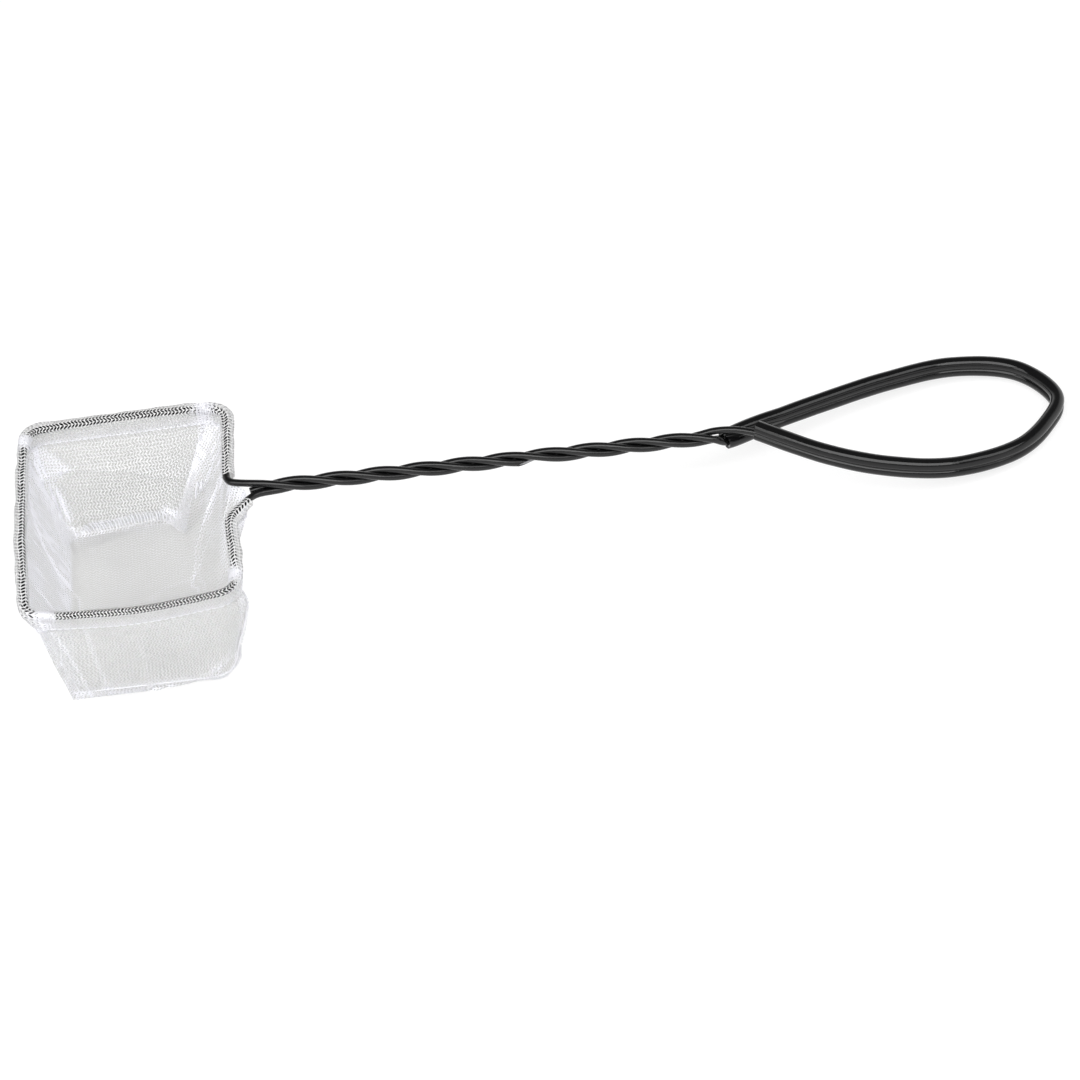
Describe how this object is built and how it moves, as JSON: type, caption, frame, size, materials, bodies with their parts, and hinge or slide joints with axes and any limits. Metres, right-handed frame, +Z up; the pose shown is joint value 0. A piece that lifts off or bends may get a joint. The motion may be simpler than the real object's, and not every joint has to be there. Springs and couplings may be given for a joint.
{
  "type": "aquarium fish net",
  "caption": "Hand net for aquarium fish: a rounded rectangular wire hoop with a white mesh bag, a twisted black wire handle and a sleeved hand loop.",
  "frame": {"origin": "middle of the part's box at the level of the surface that it lies on", "axes": "+X along the handle towards the hand loop, +Y across the handle, +Z up from the surface that it lies on"},
  "size_m": [0.351, 0.1032, 0.0576],
  "materials": {
    "steel_core": "bright drawn steel, seen only at the slanting cut",
    "black_coating": "smooth satin plastic coating",
    "black_sleeve": "glossy soft plastic sleeve",
    "white_mesh": "fine open knit of nylon, see-through",
    "white_thread": "spun sewing thread"
  },
  "bodies": {
    "root": {"hoop_wire_core": "steel_core", "hoop_wire_coating": "black_coating", "handle_wire_core": "steel_core", "handle_wire_coating": "black_coating", "grip_sleeve": "black_sleeve", "near_panel": "white_mesh", "far_panel": "white_mesh", "side_strip": "white_mesh", "near_seam_thread": "white_thread", "far_seam_thread": "white_thread", "seam_thread_tail": "white_thread", "near_hem_thread": "white_thread", "far_hem_thread": "white_thread", "left_hem_thread": "white_thread", "right_hem_thread": "white_thread", "corner_tacks": "white_thread"}
  },
  "joints": []
}
